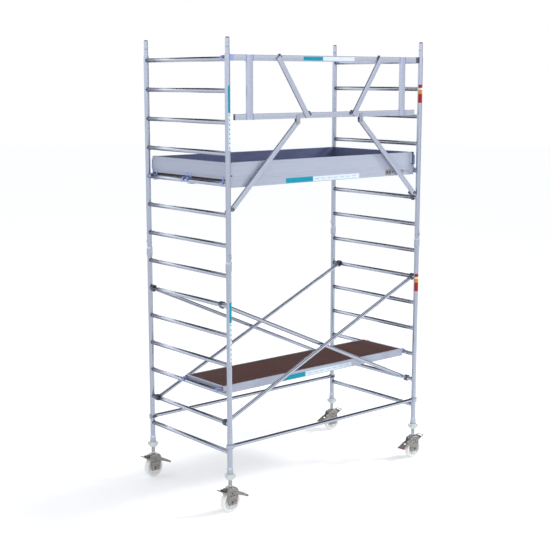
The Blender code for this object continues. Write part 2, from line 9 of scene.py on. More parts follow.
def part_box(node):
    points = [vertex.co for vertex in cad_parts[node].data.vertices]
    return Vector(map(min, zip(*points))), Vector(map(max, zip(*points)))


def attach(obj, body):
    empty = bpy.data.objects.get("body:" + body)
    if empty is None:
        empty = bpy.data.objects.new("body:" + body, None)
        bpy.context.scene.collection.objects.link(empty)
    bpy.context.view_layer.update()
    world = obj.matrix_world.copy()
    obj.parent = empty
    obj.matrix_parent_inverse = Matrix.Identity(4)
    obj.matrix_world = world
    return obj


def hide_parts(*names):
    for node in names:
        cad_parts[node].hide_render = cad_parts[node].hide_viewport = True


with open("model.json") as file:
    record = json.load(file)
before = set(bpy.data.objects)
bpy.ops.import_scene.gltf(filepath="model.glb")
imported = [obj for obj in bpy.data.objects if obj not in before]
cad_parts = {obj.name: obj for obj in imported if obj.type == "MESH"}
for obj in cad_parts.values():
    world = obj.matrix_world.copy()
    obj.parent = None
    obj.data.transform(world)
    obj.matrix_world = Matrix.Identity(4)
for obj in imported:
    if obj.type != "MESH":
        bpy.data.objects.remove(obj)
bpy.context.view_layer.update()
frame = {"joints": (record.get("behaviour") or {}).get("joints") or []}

# ---- driving dimensions, in metres, as in the frame ----
FIRST_RUNG, RUNG_PITCH, RUNGS = 0.580, 0.280, 7
LEG_FOOT, SECTION = 0.345, 1.960
LEG_R, BORE_R, BELL_R, BELL_H = 0.0250, 0.0222, 0.0295, 0.078
SPIGOT_R, SPIGOT_BORE, SPIGOT_H = 0.0208, 0.0165, 0.148
RUNG_R, BRACE_R = 0.0215, 0.0190
SPINDLE_R, THREAD_PITCH, THREAD_DEPTH = 0.0190, 0.008, 0.0016
WHEEL_R, BRAKE_PIVOT_Z, FLANGE_TOP = 0.100, 0.188, 0.2400
PLATE_IN, PLATE_OUT = 0.0300, 0.0350
ARM_IN, ARM_OUT = 0.0362, 0.0402
BOARD_THICK, DECK_LIFT, DECK_END = 0.0122, 0.040, 1.215
LOWER_DECK_Y, UPPER_DECK_Y = -0.200, 0.3085
DECK_HALF, RIM = 0.3000, 0.2800
BEAM_FACE = UPPER_DECK_Y + DECK_HALF
UPPER_BRACE_RUNG, LOWER_BRACE_RUNG, GIRT_HEIGHT = 5, 1, 0.640
INNER_PLANE, OUTER_PLANE = 0.540, 0.590
RAIL_Y, RAIL_H, RAIL_T = -0.635, 0.054, 0.025
TOP_RAIL_Z, LOW_RAIL_Z = 4.232, 3.704
TOP_RAIL_END, LOW_RAIL_END = 1.218, 1.166
RAIL_CLAW_RUNG, STAY_RUNG, RAIL_CLAW_Y = 13, 8, -0.5915
STRUT_TOP_X, STRUT_FOOT_X = 0.665, 0.298
POST_X, POST_WIDTH, STRUT_WIDTH, STAY_WIDTH = 0.992, 0.070, 0.050, 0.048

UP = (0, 0, 1)
JOINTS = {joint["name"]: joint for joint in frame["joints"]}
CORNERS = {
    "front_left": (-1, -1), "front_right": (1, -1), "rear_left": (-1, 1), "rear_right": (1, 1),
}


def pivot(joint):
    return Vector(JOINTS[joint]["pos_m"])


HALF_LENGTH, HALF_WIDTH = (abs(a) for a in pivot("pin_pull_front_left").xy)


def rung_z(number):
    return FIRST_RUNG + RUNG_PITCH * number


# ---- mesh building ----
def across(axis):
    """Two directions square to an axis, which give it as their cross product."""
    w = Vector(axis).normalized()
    side = Vector(UP) if abs(w.z) < 0.9 else Vector((1, 0, 0))
    u = side.cross(w).normalized()
    return u, w.cross(u)


def place(origin, u=(1, 0, 0), v=(0, 1, 0)):
    """The matrix that takes X to u, Y to v and Z to their cross product, at the origin."""
    u, v = Vector(u).normalized(), Vector(v).normalized()
    return Matrix.Translation(origin) @ Matrix((u, v, u.cross(v))).transposed().to_4x4()


def facing(origin, axis):
    return place(origin, *across(axis))


def span(side, near, far):
    """Two distances from the middle as an interval on one side of it."""
    return sorted((side * near, side * far))


def polar(angle, radius):
    return radius * math.cos(math.radians(angle)), radius * math.sin(math.radians(angle))


def part_ring(inner, outer, start, end, steps=28):
    """The outline of a part ring between two angles in degrees."""
    angles = [start + (end - start) * i / steps for i in range(steps + 1)]
    return [polar(a, outer) for a in angles] + [polar(a, inner) for a in reversed(angles)]


def rounded(half_a, half_b, radius, steps=4):
    """The outline of a rectangle with round corners, about its middle."""
    outline = []
    for quarter, (sa, sb) in enumerate(((1, 1), (-1, 1), (-1, -1), (1, -1))):
        for i in range(steps + 1):
            a, b = polar(90 * quarter + 90 * i / steps, radius)
            outline.append((sa * (half_a - radius) + a, sb * (half_b - radius) + b))
    return outline


class Shape:
    """Shells gathered in one mesh. paint is the number of the material that the next ones take."""

    def __init__(self):
        self.bm = bmesh.new()
        self.paint = 0

    def skin(self, rings, loop=False, caps=True):
        """Faces between closed rings of points. loop joins the last ring to the first."""
        rows = [[self.bm.verts.new(point) for point in ring] for ring in rings]
        pairs = list(zip(rows, rows[1:]))
        if loop:
            pairs.append((rows[-1], rows[0]))
        faces = []
        for low, high in pairs:
            for i in range(len(low)):
                j = (i + 1) % len(low)
                faces.append(self.bm.faces.new((low[i], low[j], high[j], high[i])))
        if caps and not loop:
            faces.append(self.bm.faces.new(rows[0][::-1]))
            faces.append(self.bm.faces.new(rows[-1]))
        for face in faces:
            face.material_index = self.paint
        return self

    def turned(self, profile, where, sides=32, hollow=False, flute=None):
        """(radius, height) points turned round Z. A hollow profile is a loop, a solid one gets end caps."""
        rings = []
        for radius, height in profile:
            ring = []
            for i in range(sides):
                angle = 2 * math.pi * i / sides
                r = radius + (flute(angle) if flute else 0)
                ring.append(where @ Vector((r * math.cos(angle), r * math.sin(angle), height)))
            rings.append(ring)
        return self.skin(rings, loop=hollow)

    def prism(self, outline, where, low, high):
        return self.skin([[where @ Vector((a, b, h)) for a, b in outline] for h in (low, high)])

    def box(self, x0, x1, y0, y1, z0, z1):
        outline = [(x0, y0), (x1, y0), (x1, y1), (x0, y1)]
        return self.prism(outline, Matrix.Identity(4), z0, z1)

    def rod(self, start, end, radius, sides=24):
        length = (Vector(end) - Vector(start)).length
        return self.turned([(radius, 0), (radius, length)], facing(start, Vector(end) - Vector(start)), sides)

    def tube(self, start, end, outer, inner, sides=40, flute=None):
        length = (Vector(end) - Vector(start)).length
        where = facing(start, Vector(end) - Vector(start))
        edge = 0.0006
        profile = [
            (outer - edge, 0), (outer, edge), (outer, length - edge), (outer - edge, length),
            (inner, length), (inner, 0),
        ]
        return self.turned(profile, where, sides, hollow=True, flute=flute)

    def wire(self, path, radius, sides=10, loop=False, ripple=None):
        """A round section along a path of points."""
        points = [Vector(p) for p in path]
        count = len(points)
        normal = None
        rings = []
        for i, point in enumerate(points):
            before = points[i - 1] if i or loop else point
            after = points[(i + 1) % count] if i < count - 1 or loop else point
            tangent = (after - before).normalized()
            normal = across(tangent)[0] if normal is None else normal
            normal = (normal - tangent * normal.dot(tangent)).normalized()
            side = tangent.cross(normal)
            r = radius * (ripple(i) if ripple else 1)
            ring = []
            for k in range(sides):
                a, b = polar(360 * k / sides, r)
                ring.append(point + normal * a + side * b)
            rings.append(ring)
        return self.skin(rings, loop=loop)

    def bolt(self, origin, axis, radius, height):
        """A hexagonal head on a washer."""
        where = facing(origin, axis)
        self.turned([(radius * 1.35, 0), (radius * 1.35, height * 0.25)], where, 24)
        top = [(radius, height * 0.25), (radius, height * 0.9), (radius * 0.86, height)]
        return self.turned(top, where, 6)

    def rivet(self, origin, axis, radius):
        """A domed head."""
        dome = [(radius * math.cos(a), radius * 0.45 * math.sin(a)) for a in (0, 0.4, 0.8, 1.2, 1.5)]
        return self.turned(dome, facing(origin, axis), 14)


def piece(name, shape, body, materials, stands_for=(), bevel=0.0, sharp=32):
    """The shape as an object that rides on a body. bevel rounds its hard edges."""
    mesh = bpy.data.meshes.new(name)
    bmesh.ops.recalc_face_normals(shape.bm, faces=shape.bm.faces)
    shape.bm.to_mesh(mesh)
    shape.bm.free()
    for mat in materials:
        mesh.materials.append(mat)
    mesh.shade_smooth()
    obj = bpy.data.objects.new(name, mesh)
    bpy.context.scene.collection.objects.link(obj)
    if bevel:
        modifier = obj.modifiers.new("Bevel", "BEVEL")
        modifier.width, modifier.segments = bevel, 2
        modifier.limit_method, modifier.angle_limit = "ANGLE", math.radians(sharp)
        modifier.harden_normals = True
    else:
        mesh.set_sharp_from_angle(angle=math.radians(sharp))
    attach(obj, body)
    if stands_for:
        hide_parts(*stands_for)
    return obj


# ---- materials ----
def tune(node, **values):
    """Sets a shader node's inputs. An underscore in a name stands for a space."""
    for name, value in values.items():
        node.inputs[name.replace("_", " ")].default_value = value
    return node


def surface(
    name, colour, metallic, roughness, stretch=(1, 1, 1), scale=30.0, tone=0.10, grain=0.10, gloss=0.5,
):
    """A Principled material with streaks or mottle in its colour, its roughness and a fine bump."""
    mat = bpy.data.materials.new(name)
    mat.use_nodes = True
    nodes, links = mat.node_tree.nodes, mat.node_tree.links
    shader = tune(nodes["Principled BSDF"], Metallic=metallic, Specular_IOR_Level=gloss)
    where = nodes.new("ShaderNodeTexCoord")
    mapping = tune(nodes.new("ShaderNodeMapping"), Scale=stretch)
    links.new(where.outputs["Object"], mapping.inputs["Vector"])
    noise = tune(nodes.new("ShaderNodeTexNoise"), Scale=scale, Detail=6)
    links.new(mapping.outputs["Vector"], noise.inputs["Vector"])
    ramp = nodes.new("ShaderNodeValToRGB")
    dark, light = ramp.color_ramp.elements
    dark.position, dark.color = 0.32, (*(c * (1 - tone) for c in colour), 1)
    light.position, light.color = 0.68, (*(min(1, c * (1 + tone * 0.5)) for c in colour), 1)
    links.new(noise.outputs["Fac"], ramp.inputs["Fac"])
    links.new(ramp.outputs["Color"], shader.inputs["Base Color"])
    spread = tune(nodes.new("ShaderNodeMapRange"), To_Min=roughness * 0.75, To_Max=min(1.0, roughness * 1.25))
    links.new(noise.outputs["Fac"], spread.inputs["Value"])
    links.new(spread.outputs["Result"], shader.inputs["Roughness"])
    bump = tune(nodes.new("ShaderNodeBump"), Strength=grain, Distance=0.0004)
    links.new(noise.outputs["Fac"], bump.inputs["Height"])
    links.new(bump.outputs["Normal"], shader.inputs["Normal"])
    return mat


def film_faced(name, colour, tread):
    """Resin film on plywood, with a grid of small raised points where it is walked on."""
    mat = surface(name, colour, 0.0, 0.62, scale=9.0, tone=0.22, grain=0.05, gloss=0.10)
    nodes, links = mat.node_tree.nodes, mat.node_tree.links
    where = nodes.new("ShaderNodeTexCoord")
    cells = tune(nodes.new("ShaderNodeTexVoronoi"), Scale=1 / tread, Randomness=0.0)
    links.new(where.outputs["Object"], cells.inputs["Vector"])
    bump = tune(nodes.new("ShaderNodeBump"), Strength=0.5, Distance=0.0008)
    bump.invert = True
    links.new(cells.outputs["Distance"], bump.inputs["Height"])
    links.new(bump.outputs["Normal"], nodes["Principled BSDF"].inputs["Normal"])
    return mat


def plies(name):
    """Plywood seen from its edge: thin layers, light and dark in turn."""
    mat = surface(name, (0.20, 0.12, 0.08), 0.0, 0.75, stretch=(3, 3, 40), scale=4.0, tone=0.4, grain=0.2)
    nodes, links = mat.node_tree.nodes, mat.node_tree.links
    where = nodes.new("ShaderNodeTexCoord")
    wave = tune(nodes.new("ShaderNodeTexWave"), Scale=110.0, Distortion=0.6)
    wave.bands_direction = "Z"
    links.new(where.outputs["Object"], wave.inputs["Vector"])
    ramp = nodes.new("ShaderNodeValToRGB")
    ramp.color_ramp.elements[0].color = (0.13, 0.07, 0.045, 1)
    ramp.color_ramp.elements[1].color = (0.30, 0.20, 0.13, 1)
    links.new(wave.outputs["Fac"], ramp.inputs["Fac"])
    links.new(ramp.outputs["Color"], nodes["Principled BSDF"].inputs["Base Color"])
    return mat


ALLOY = (0.395, 0.430, 0.510)
ALLOY_Z = surface("aluminium_upright", ALLOY, 0.92, 0.28, (1, 1, 0.03), 260, 0.06, 0.02)
ALLOY_Y = surface("aluminium_crosswise", ALLOY, 0.96, 0.15, (1, 0.03, 1), 260, 0.06, 0.02)
ALLOY_X = surface("aluminium_lengthwise", ALLOY, 0.96, 0.15, (0.03, 1, 1), 260, 0.06, 0.02)
BAR = surface("aluminium_bar", (0.435, 0.465, 0.560), 0.62, 0.30, (0.3, 0.3, 0.3), 200, 0.05, 0.02)
SHEET = surface("aluminium_sheet", (0.384, 0.416, 0.516), 0.15, 0.50, (0.05, 1, 1), 120, 0.05, 0.06)
# dark slate for the toe boards' inside faces: painted shade of their inner side, not a coating
INSIDE_SHADE = surface("painted_shade_slate", (0.126, 0.148, 0.272), 0.10, 0.60, (0.2, 1, 1), 60, 0.12, 0.10, 0.3)
WELD = surface("weld_metal", (0.52, 0.55, 0.62), 0.85, 0.42, scale=420, tone=0.25, grain=0.35)
CAST = surface("cast_alloy", (0.60, 0.64, 0.64), 0.25, 0.45, scale=380, tone=0.12, grain=0.4)
ZINC = surface("zinc_plate", (0.46, 0.47, 0.50), 0.90, 0.30, scale=90, tone=0.16, grain=0.08)
GALV = surface("galvanised_steel", (0.27, 0.255, 0.238), 0.40, 0.40, scale=55, tone=0.22, grain=0.14)
STUD = surface("dark_zinc_plate", (0.090, 0.088, 0.092), 0.60, 0.38, scale=90, tone=0.20, grain=0.10)
DARK = surface("dark_casting", (0.085, 0.095, 0.135), 0.30, 0.42, scale=300, tone=0.25, grain=0.4)
BLUE = surface("blue_anodised_alloy", (0.30, 0.36, 0.66), 0.25, 0.36, scale=300, tone=0.14, grain=0.2)
BLACK = surface("black_plastic", (0.030, 0.032, 0.038), 0.0, 0.45, scale=250, tone=0.3, grain=0.3)
NYLON = surface("white_nylon", (0.77, 0.78, 0.765), 0.0, 0.42, scale=40, tone=0.05, grain=0.08)
RED = surface("red_plastic", (0.30, 0.010, 0.022), 0.0, 0.4, scale=200, tone=0.2, grain=0.2)
BOARD = film_faced("brown_film", (0.082, 0.032, 0.026), 0.0045)
EDGE = plies("plywood_edge")


def ink(name, colour, tone):
    return surface(name, colour, 0.0, 0.40, scale=30, tone=tone, grain=0.03, gloss=0.15)


TEAL_PRINT = ink("teal_print", (0.004, 0.27, 0.38), 0.06)
WHITE_PRINT = ink("white_print", (0.62, 0.69, 0.76), 0.04)
RED_PRINT = ink("red_print", (0.34, 0.022, 0.026), 0.08)
AMBER_PRINT = ink("amber_print", (0.62, 0.28, 0.012), 0.08)


# ---- ladder frames ----
def weld_bead(shape, x, y, z):
    """A rippled bead where a rung meets a leg: the seam of two crossing cylinders."""
    side = -1 if y > 0 else 1
    steps, ripples = 60, 20
    path = []
    for i in range(steps):
        a, b = polar(360 * i / steps, RUNG_R + 0.0006)
        path.append((x + a, y + side * math.sqrt((LEG_R + 0.0004) ** 2 - a * a), z + b))
    wave = 2 * math.pi * ripples / steps
    shape.wire(path, 0.0026, 7, loop=True, ripple=lambda i: 1 + 0.16 * math.cos(i * wave))


def rung_flutes(angle):
    return -0.00035 * (1 + math.cos(24 * angle))


def frame_legs(level, side, x, storey):
    foot = LEG_FOOT + SECTION * storey + 0.0005 * storey
    shoulder = LEG_FOOT + SECTION * (storey + 1)
    top = shoulder + SPIGOT_H
    profile = [
        (BELL_R - 0.001, foot), (BELL_R, foot + 0.001), (BELL_R, foot + BELL_H - 0.006),
        (BELL_R - 0.0012, foot + BELL_H), (LEG_R + 0.0012, foot + BELL_H + 0.010),
        (LEG_R, foot + BELL_H + 0.014), (LEG_R, shoulder - 0.001), (LEG_R - 0.001, shoulder),
        (SPIGOT_R, shoulder + 0.0004),
        (SPIGOT_R, shoulder + 0.060), (SPIGOT_R - 0.0010, shoulder + 0.063), (SPIGOT_R, shoulder + 0.066),
        (SPIGOT_R, top - 0.012), (SPIGOT_R - 0.0030, top),
        (SPIGOT_BORE, top), (SPIGOT_BORE, shoulder - 0.024), (BORE_R, shoulder - 0.030), (BORE_R, foot),
    ]
    legs, rivets = Shape(), Shape()
    for y in (-HALF_WIDTH, HALF_WIDTH):
        legs.turned(profile, Matrix.Translation((x, y, 0)), 56, hollow=True)
        for angle in (45, 135, 225, 315):
            a, b = polar(angle, LEG_R - 0.0004)
            rivets.rivet((x + a, y + b, shoulder - 0.045), (a, b, 0), 0.0034)
    node = f"{level}_frame_{side}"
    piece(f"{node}_legs", legs, "tower", [ALLOY_Z], [node], sharp=10)
    piece(f"{node}_rivets", rivets, "tower", [ZINC])


def frame_rungs(level, side, x, storey):
    rungs, beads = Shape(), Shape()
    reach = HALF_WIDTH - LEG_R + 0.006
    for i in range(RUNGS):
        z = rung_z(i + storey * RUNGS)
        rungs.tube((x, -reach, z), (x, reach, z), RUNG_R, RUNG_R - 0.0022, 96, rung_flutes)
        for y in (-HALF_WIDTH, HALF_WIDTH):
            weld_bead(beads, x, y, z)
    piece(f"{level}_frame_{side}_rungs", rungs, "tower", [ALLOY_Y], sharp=60)
    piece(f"{level}_frame_{side}_welds", beads, "tower", [WELD], sharp=80)


def lock_pin(corner):
    origin = pivot(f"pin_pull_{corner}")
    side = CORNERS[corner][1]
    axis = Vector((0, side, 0))
    pin = Shape()
    profile = [
        (0.0020, -0.034), (0.0040, -0.031), (0.0040, 0.0262), (0.0085, 0.0262), (0.0090, 0.0268),
        (0.0090, 0.0372), (0.0082, 0.0380),
    ]
    pin.turned(profile, facing(origin, axis), 24)
    ring = []
    for i in range(40):
        a, b = polar(9 * i, 0.015)
        ring.append(origin + Vector((a, side * 0.032, 0.018 + b)))
    pin.wire(ring, 0.0018, 8, loop=True)
    node = f"lock_pin_{corner}"
    piece(f"{node}_fine", pin, f"pin_{corner}", [ZINC], [node])


# ---- castors ----
def thread_depth(turns):
    """Depth share of a trapezoid thread at a place given in turns."""
    t = turns % 1.0
    if t < 0.36:
        return 0.0
    if t < 0.50:
        return (t - 0.36) / 0.14
    if t < 0.86:
        return 1.0
    return (1.0 - t) / 0.14


def spindle(corner, x, y):
    """A threaded rod that runs out smooth at both ends, on a flange and kingpin."""
    node = f"spindle_{corner}"
    screw = Shape()
    low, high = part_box(node)
    start, end = FLANGE_TOP + 0.020, high.z - 0.130
    sides, rows_per_turn = 28, 10
    rows = round((end - start) / THREAD_PITCH * rows_per_turn)

    def ring(z, fade=0.0, turns=0.0):
        points = []
        for i in range(sides):
            cut = THREAD_DEPTH * fade * thread_depth(turns - i / sides)
            a, b = polar(360 * i / sides, SPINDLE_R - cut)
            points.append((x + a, y + b, z))
        return points

    rings = [ring(FLANGE_TOP)]
    for row in range(rows + 1):
        fade = min(1.0, row / rows_per_turn, (rows - row) / rows_per_turn)
        rings.append(ring(start + THREAD_PITCH * row / rows_per_turn, fade, row / rows_per_turn))
    rings.append(ring(high.z))
    screw.skin(rings)
    flange = [
        (0.0110, low.z), (0.0140, low.z + 0.002), (0.0140, 0.2101), (0.0095, 0.2101), (0.0095, 0.2321),
        (0.0440, 0.2321), (0.0450, 0.2331), (0.0450, 0.2390), (0.0440, FLANGE_TOP), (0.0245, FLANGE_TOP),
        (0.0215, FLANGE_TOP + 0.006), (SPINDLE_R, FLANGE_TOP + 0.008),
    ]
    screw.turned(flange, Matrix.Translation((x, y, 0)), 48)
    piece(f"{node}_fine", screw, node, [ZINC], [node], sharp=40)


def adjusting_nut(corner, x, y):
    nut = Shape()
    low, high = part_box(f"adjusting_nut_{corner}")
    profile = [
        (0.0203, low.z + 0.001), (0.0335, low.z), (0.0358, low.z + 0.002), (0.0370, low.z + 0.006),
        (0.0370, low.z + 0.022), (0.0352, low.z + 0.026), (0.0352, high.z - 0.006), (0.0370, high.z - 0.003),
        (0.0366, high.z), (0.0312, high.z), (0.0308, LEG_FOOT - 0.0004), (0.0203, LEG_FOOT - 0.0004),
    ]
    nut.turned(profile, Matrix.Translation((x, y, 0)), 48, hollow=True)
    ear = [
        (0.034, -0.021), (0.044, -0.019), (0.050, -0.012), (0.053, -0.003), (0.054, 0.010), (0.052, 0.018),
        (0.047, 0.0210), (0.0425, 0.0175), (0.039, 0.010), (0.034, 0.006),
    ]
    rib = [(0.0345, -0.028), (0.0385, -0.026), (0.0385, 0.016), (0.0345, 0.020)]
    for angle in (-40, 140):
        for outline, turn, half in ((ear, 0, 0.0055), (rib, -50, 0.003), (rib, 50, 0.003)):
            outward = (*polar(angle + turn, 1), 0)
            nut.prism(outline, place((x, y, 0.350), outward, UP), -half, half)
    piece(f"adjusting_nut_{corner}_fine", nut, f"nut_{corner}", [CAST],
          [f"adjusting_nut_{corner}"], bevel=0.0012)


def castor_fork(corner, x, y, inward):
    """Pressed plates beside the wheel, longer towards the foot plate, under a bridge with a bearing dome."""
    fork, bolts = Shape(), Shape()
    plate = [
        (-0.0560, 0.2310), (-0.0600, 0.2270), (-0.0610, 0.1900), (-0.0455, 0.0800), (-0.0430, 0.0740),
        (-0.0370, 0.0700), (0.0460, 0.0700), (0.0520, 0.0740), (0.0545, 0.0800), (0.0740, 0.1720),
        (0.0740, 0.2010), (0.0610, 0.2270), (0.0560, 0.2310),
    ]
    pressed = [
        (-0.0400, 0.0860), (-0.0360, 0.0810), (0.0450, 0.0810), (0.0485, 0.0860), (0.0640, 0.1620),
        (0.0620, 0.1700), (-0.0500, 0.1700), (-0.0520, 0.1640),
    ]
    # a thin dark strip across each plate below the housing: painted shadow of the housing above it
    shadow_strip = [(-0.0470, 0.1590), (0.0600, 0.1590), (0.0615, 0.1660), (-0.0485, 0.1660)]
    face = place((x, y, 0), (inward, 0, 0), UP)
    for s in (-1, 1):
        fork.prism(plate, face, *span(s, PLATE_IN, PLATE_OUT))
        fork.prism(pressed, face, *span(s, PLATE_OUT - 0.001, PLATE_OUT + 0.0008))
        # the painted shadow strip, in the bolts' dark zinc
        bolts.prism(shadow_strip, face, *span(s, PLATE_IN, PLATE_OUT + 0.0010))
        bolts.bolt((x, y + s * (PLATE_OUT + 0.0008), WHEEL_R), (0, s, 0), 0.0088, 0.0060)
        bolts.bolt((x + inward * 0.036, y + s * (PLATE_OUT + 0.0008), 0.112), (0, s, 0), 0.0050, 0.0040)
        stud_end = (x, y + s * 0.0428, BRAKE_PIVOT_Z)
        bolts.rod((x, y + s * PLATE_IN, BRAKE_PIVOT_Z), stud_end, 0.0058)
        bolts.rivet(stud_end, (0, s, 0), 0.0070)
    fork.box(x - 0.0575, x + 0.0575, y - PLATE_IN, y + PLATE_IN, 0.2105, 0.2312)
    fork.turned([(0.0440, 0.2300), (0.0445, 0.2314), (0.0440, 0.2317)], Matrix.Translation((x, y, 0)), 48)
    bolts.rod((x, y - 0.034, WHEEL_R), (x, y + 0.034, WHEEL_R), 0.0095)
    name = f"castor_fork_{corner}"
    piece(f"{name}_plates", fork, f"fork_{corner}", [GALV], [name], bevel=0.0012)
    piece(f"{name}_bolts", bolts, f"fork_{corner}", [STUD], bevel=0.0005)


def castor_wheel(corner, x, y):
    wheel = Shape()
    where = place((x, y, WHEEL_R), (1, 0, 0), UP)
    half = [
        (0.0112, 0.0285), (0.0270, 0.0285), (0.0290, 0.0275), (0.0305, 0.0240), (0.0315, 0.0125),
        (0.0335, 0.0105), (0.0720, 0.0105), (0.0745, 0.0130), (0.0768, 0.0225), (0.0785, 0.0245),
        (0.0935, 0.0250), (0.0965, 0.0243), (0.0985, 0.0215), (0.0996, 0.0165), (WHEEL_R, 0.0080),
    ]
    wheel.turned(half + [(r, -h) for r, h in reversed(half)], where, 72, hollow=True)
    rib = [(0.0290, -0.0190), (0.0750, -0.0190), (0.0750, 0.0190), (0.0290, 0.0190)]
    for i in range(10):
        across_x, across_z = polar(36 * i, 1)
        wheel.prism(rib, place((x, y, WHEEL_R), (across_x, 0, across_z), (0, 1, 0)), -0.0022, 0.0022)
    name = f"castor_wheel_{corner}"
    piece(f"{name}_fine", wheel, f"wheel_{corner}", [NYLON], [name], sharp=40)


def brake_rocker(corner, x, y, inward):
    rocker = Shape()
    arm = [
        (-0.1265, 0.0440), (-0.1305, 0.0400), (-0.1290, 0.0350), (-0.062, 0.0030), (-0.030, -0.0080),
        (-0.010, -0.0150), (0.020, -0.0160), (0.060, -0.0270), (0.110, -0.0430), (0.150, -0.0590),
        (0.183, -0.0735), (0.1885, -0.0700), (0.1900, -0.0580), (0.150, -0.0370), (0.110, -0.0170),
        (0.060, 0.0020), (0.030, 0.0120), (-0.012, 0.0120), (-0.060, 0.0160),
    ]
    base = place((x, y, BRAKE_PIVOT_Z), (inward, 0, 0), UP)
    for low in (-ARM_OUT, ARM_IN):
        rocker.prism(arm, base, low, low + ARM_OUT - ARM_IN)
    foot = [
        (0.126, -0.0345), (0.124, -0.0310), (0.126, -0.0285), (0.187, -0.0550), (0.189, -0.0585),
        (0.187, -0.0610),
    ]
    rocker.prism(foot, base, -ARM_OUT + 0.0005, ARM_OUT - 0.0005)
    treads = [(0.134 + 0.010 * i, -0.0292 - 0.435 * (0.008 + 0.010 * i), 0.0015, 0.030, 8) for i in range(5)]
    links = [(a, b, radius, ARM_OUT - 0.001, 24) for a, b, radius in (
        (0.095, -0.020, 0.0080), (-0.124, 0.0390, 0.0036),
    )]
    for a, b, radius, half, sides in treads + links:
        start = Vector((x + inward * a, y - half, BRAKE_PIVOT_Z + b))
        rocker.rod(start, start + Vector((0, 2 * half, 0)), radius, sides)
    name = f"brake_rocker_{corner}"
    piece(f"{name}_fine", rocker, f"brake_{corner}", [GALV], [name], bevel=0.0008)
    cap = Shape()
    tip = [(0.168, -0.0480), (0.1905, -0.0565), (0.1912, -0.0620), (0.184, -0.0660), (0.164, -0.0560)]
    cap.prism(tip, base, -ARM_OUT - 0.0012, ARM_OUT + 0.0012)
    piece(f"{name}_cap", cap, f"brake_{corner}", [RED], bevel=0.0022)
    pad = Shape()
    over_tread = place((x - inward * 0.0785, y, 0.2155), (inward, 0, 0), UP)
    pad.prism(rounded(0.012, 0.011, 0.003), over_tread, -0.036, 0.036)
    piece(f"{name}_block", pad, f"brake_{corner}", [BLACK], bevel=0.001)


# ---- braces ----
def claw(shape, centre, along, hook, inner):
    """A cast half ring round a tube, and the neck that goes into the brace tube."""
    u, v = Vector(along), Vector(hook)
    where = place(centre, u, v)
    shape.prism(part_ring(inner, inner + 0.0092, -26, 204), where, -0.0208, 0.0208)
    for side in (-0.0165, 0.0165):
        shape.prism(part_ring(inner + 0.0085, inner + 0.0112, 0, 170), where, side - 0.0022, side + 0.0022)
    near = inner + 0.004
    neck = [
        (near, -0.0120), (near + 0.008, -0.0140), (0.060, -0.0150), (0.060, 0.0150),
        (near + 0.008, 0.0150), (near, 0.0140),
    ]
    shape.prism(neck, where, -0.0150, 0.0150)


def brace(node, start, end, hook_side, inner, claw_finish):
    """A tube between two claws. inner is the radius of a claw's ring."""
    a, b = Vector(start), Vector(end)
    along = (b - a).normalized()
    side = Vector(hook_side)
    hook = (side - along * side.dot(along)).normalized()
    tube = Shape()
    setback = along * (inner + 0.0135)
    tube.tube(a + setback, b - setback, BRACE_R, BRACE_R - 0.0028, 48)
    piece(f"{node}_tube", tube, "tower", [ALLOY_X], [node])
    claws, rivets = Shape(), Shape()
    for centre, direction in ((a, along), (b, -along)):
        claw(claws, centre, direction, hook, inner)
        w = direction.cross(hook)
        for s in (-1, 1):
            for distance in (0.052, 0.074):
                rivets.rivet(centre + direction * distance + w * s * (BRACE_R - 0.0003), w * s, 0.0042)
    piece(f"{node}_claws", claws, "tower", [claw_finish], bevel=0.0012)
    piece(f"{node}_rivets", rivets, "tower", [ZINC])
    for end_name, centre, direction in (("a", a, along), ("b", b, -along)):
        catch(f"{node}_catch_{end_name}", centre, direction, hook, inner)


def catch(node, centre, along, hook, inner):
    """The sprung finger across a claw's mouth, with its pivot pin and its coil."""
    finger = Shape()
    where = place(centre, along, hook)
    outer_side = (
        (-36, 0.0118), (-44, 0.0150), (-53, 0.0163), (-62, 0.0148), (-72, 0.0122), (-84, 0.0102),
        (-97, 0.0094), (-112, 0.0088), (-126, 0.0080), (-129, 0.0062),
    )
    inner_side = (
        (-129, 0.0036), (-126, 0.0021), (-110, 0.0022), (-95, 0.0025), (-80, 0.0026), (-66, 0.0028),
        (-50, 0.0027), (-37, 0.0026),
    )
    outline = [polar(angle, inner + out) for angle, out in outer_side + inner_side]
    finger.prism(outline, where, -0.0118, 0.0118)
    piece(f"{node}_finger", finger, node, [DARK], [node], bevel=0.0010)
    pin = Shape()
    a, b = polar(-50, inner + 0.0095)
    origin = Vector(centre) + Vector(along) * a + Vector(hook) * b
    w = Vector(along).cross(Vector(hook))
    pin.rod(origin - w * 0.0150, origin + w * 0.0150, 0.0026, 16)
    coil = []
    for i in range(70):
        p, q = polar(24 * i, 0.0043)
        coil.append(origin + Vector(along) * p + Vector(hook) * q + w * (-0.0145 + 0.0025 * i / 70))
    pin.wire(coil, 0.0005, 6)
    piece(f"{node}_pin", pin, node, [ZINC], sharp=40)


